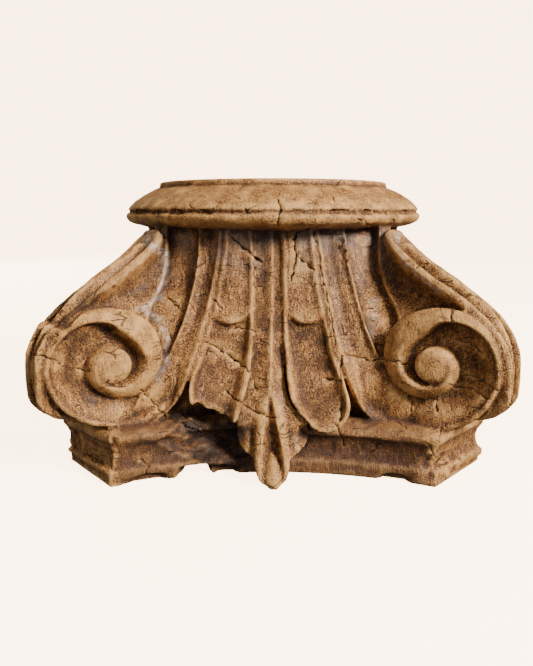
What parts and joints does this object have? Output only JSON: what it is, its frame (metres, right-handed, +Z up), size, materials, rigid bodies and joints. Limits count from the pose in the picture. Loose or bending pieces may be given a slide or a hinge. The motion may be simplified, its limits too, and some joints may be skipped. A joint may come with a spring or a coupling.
{
  "type": "column base",
  "caption": "Squarish carved wooden column base: a turned disc on top, fluted flaring sides, a scrolled volute at each corner and a hollow-sided foot with a leaf on each side.",
  "frame": {"origin": "middle of the underside", "axes": "+Z up through the disc, -Y towards the side that the picture shows, +X to its right"},
  "size_m": [0.3682, 0.3682, 0.235],
  "materials": {
    "old_teak": "weathered and waxed hardwood, worn edges, dark checks"
  },
  "bodies": {
    "root": {"carved_capital": "old_teak"}
  },
  "joints": []
}
